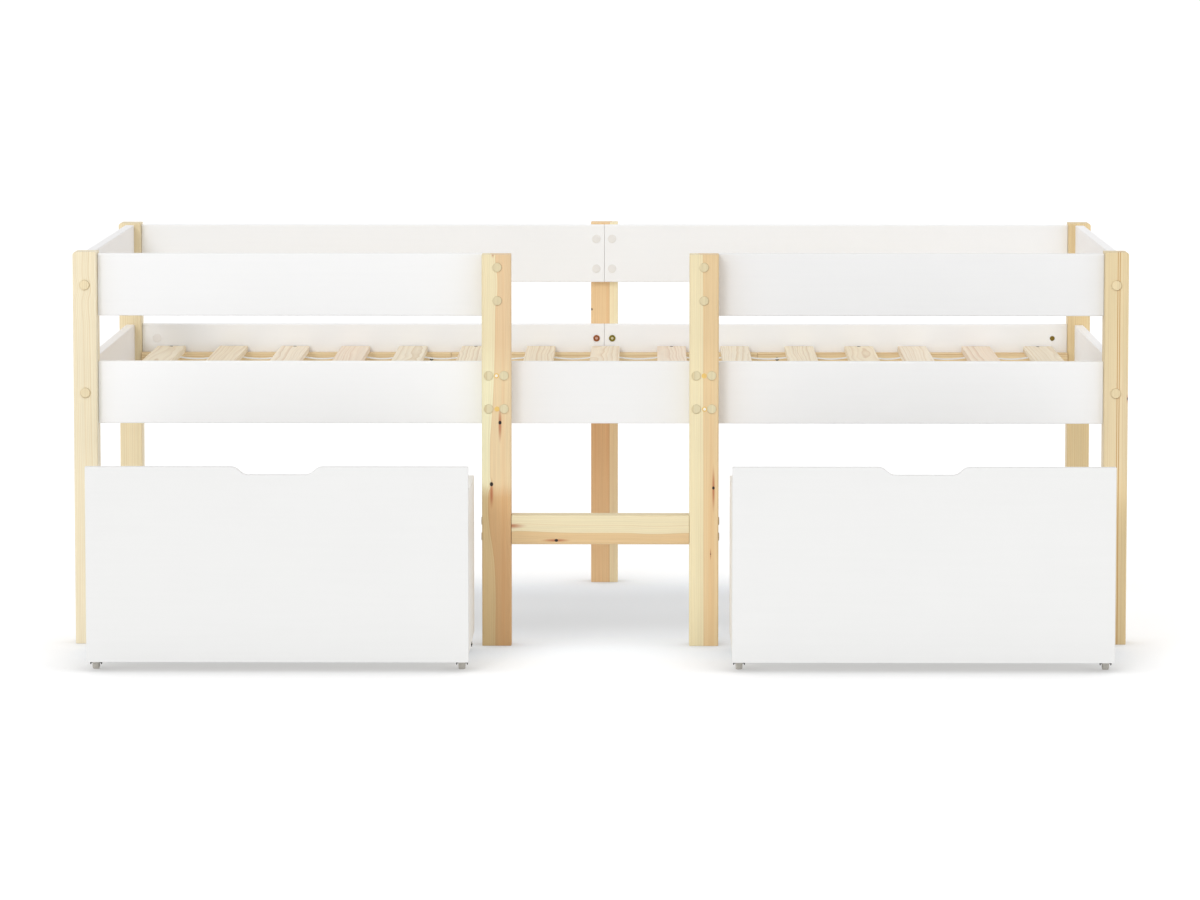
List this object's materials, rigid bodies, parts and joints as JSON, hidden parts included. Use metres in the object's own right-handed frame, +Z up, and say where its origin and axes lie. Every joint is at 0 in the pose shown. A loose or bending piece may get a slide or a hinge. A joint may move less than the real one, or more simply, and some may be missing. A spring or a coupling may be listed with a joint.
{
  "type": "storage bed",
  "caption": "Raised single bed frame in pine and white boards with slats, an entry step between two posts, and open storage boxes that roll out on castors.",
  "frame": {"origin": "centre of the overall box at floor level, with both storage boxes rolled out", "axes": "+X along the bed's length, to the right seen from the entry side; +Y from the entry side to the wall side; +Z up"},
  "size_m": [1.98, 1.417, 0.74],
  "materials": {
    "pine": "clear lacquered pine, satin",
    "dark_pine": "clear lacquered pine, darker heartwood, satin",
    "board": "white painted board, satin",
    "slat": "planed softwood, raw",
    "webbing": "woven webbing, matte",
    "box_panel": "white painted panel, satin",
    "wheel": "hard plastic wheel, satin"
  },
  "bodies": {
    "bed_frame": {"front_left_post": "pine", "front_right_post": "pine", "rear_left_post": "pine", "rear_right_post": "pine", "entry_left_post": "pine", "entry_right_post": "pine", "rear_middle_post": "dark_pine", "upper_front_rail_left": "board", "upper_front_rail_right": "board", "lower_front_rail_left": "board", "lower_front_rail_middle": "board", "lower_front_rail_right": "board", "upper_rear_rail_left": "board", "upper_rear_rail_right": "board", "lower_rear_rail_left": "board", "lower_rear_rail_right": "board", "upper_end_board_left": "board", "lower_end_board_left": "board", "upper_end_board_right": "board", "lower_end_board_right": "board", "entry_step": "pine", "front_batten": "pine", "rear_batten_left": "pine", "rear_batten_middle": "pine", "rear_batten_right": "pine", "slat_01": "slat", "slat_02": "slat", "slat_03": "slat", "slat_04": "slat", "slat_05": "slat", "slat_06": "slat", "slat_07": "slat", "slat_08": "slat", "slat_09": "slat", "slat_10": "slat", "slat_11": "slat", "slat_12": "slat", "slat_13": "slat", "slat_14": "slat", "slat_15": "slat", "front_slat_strap": "webbing", "rear_slat_strap": "webbing"},
    "left_box": {"left_box_front": "box_panel", "left_box_left_side": "box_panel", "left_box_right_side": "box_panel", "left_box_back": "box_panel", "left_box_base": "box_panel"},
    "left_wheel_front_left": {"left_box_wheel_front_left": "wheel"},
    "left_wheel_front_right": {"left_box_wheel_front_right": "wheel"},
    "left_wheel_rear_left": {"left_box_wheel_rear_left": "wheel"},
    "left_wheel_rear_right": {"left_box_wheel_rear_right": "wheel"},
    "right_box": {"right_box_front": "box_panel", "right_box_left_side": "box_panel", "right_box_right_side": "box_panel", "right_box_back": "box_panel", "right_box_base": "box_panel"},
    "right_wheel_front_left": {"right_box_wheel_front_left": "wheel"},
    "right_wheel_front_right": {"right_box_wheel_front_right": "wheel"},
    "right_wheel_rear_left": {"right_box_wheel_rear_left": "wheel"},
    "right_wheel_rear_right": {"right_box_wheel_rear_right": "wheel"}
  },
  "joints": [
    {"name": "left_box_roll", "type": "slide", "parent": "bed_frame", "child": "left_box", "axis": [0, 1, 0], "range_m": [0, 0.3705]},
    {"name": "right_box_roll", "type": "slide", "parent": "bed_frame", "child": "right_box", "axis": [0, 1, 0], "range_m": [0, 0.3705]},
    {"name": "left_front_left_spin", "type": "hinge", "parent": "left_box", "child": "left_wheel_front_left", "pos_m": [-0.9175, -0.66055, 0.0125], "axis": [1, 0, 0], "continuous": true},
    {"name": "left_front_right_spin", "type": "hinge", "parent": "left_box", "child": "left_wheel_front_right", "pos_m": [-0.2495, -0.66055, 0.0125], "axis": [1, 0, 0], "continuous": true},
    {"name": "left_rear_left_spin", "type": "hinge", "parent": "left_box", "child": "left_wheel_rear_left", "pos_m": [-0.9175, -0.41055, 0.0125], "axis": [1, 0, 0], "continuous": true},
    {"name": "left_rear_right_spin", "type": "hinge", "parent": "left_box", "child": "left_wheel_rear_right", "pos_m": [-0.2495, -0.41055, 0.0125], "axis": [1, 0, 0], "continuous": true},
    {"name": "right_front_left_spin", "type": "hinge", "parent": "right_box", "child": "right_wheel_front_left", "pos_m": [0.256, -0.66055, 0.0125], "axis": [1, 0, 0], "continuous": true},
    {"name": "right_front_right_spin", "type": "hinge", "parent": "right_box", "child": "right_wheel_front_right", "pos_m": [0.924, -0.66055, 0.0125], "axis": [1, 0, 0], "continuous": true},
    {"name": "right_rear_left_spin", "type": "hinge", "parent": "right_box", "child": "right_wheel_rear_left", "pos_m": [0.256, -0.41055, 0.0125], "axis": [1, 0, 0], "continuous": true},
    {"name": "right_rear_right_spin", "type": "hinge", "parent": "right_box", "child": "right_wheel_rear_right", "pos_m": [0.924, -0.41055, 0.0125], "axis": [1, 0, 0], "continuous": true}
  ],
  "couplings": [
    {"joint": "left_front_left_spin", "follows": "left_box_roll", "rad_per_m": -80},
    {"joint": "left_front_right_spin", "follows": "left_box_roll", "rad_per_m": -80},
    {"joint": "left_rear_left_spin", "follows": "left_box_roll", "rad_per_m": -80},
    {"joint": "left_rear_right_spin", "follows": "left_box_roll", "rad_per_m": -80},
    {"joint": "right_front_left_spin", "follows": "right_box_roll", "rad_per_m": -80},
    {"joint": "right_front_right_spin", "follows": "right_box_roll", "rad_per_m": -80},
    {"joint": "right_rear_left_spin", "follows": "right_box_roll", "rad_per_m": -80},
    {"joint": "right_rear_right_spin", "follows": "right_box_roll", "rad_per_m": -80}
  ]
}
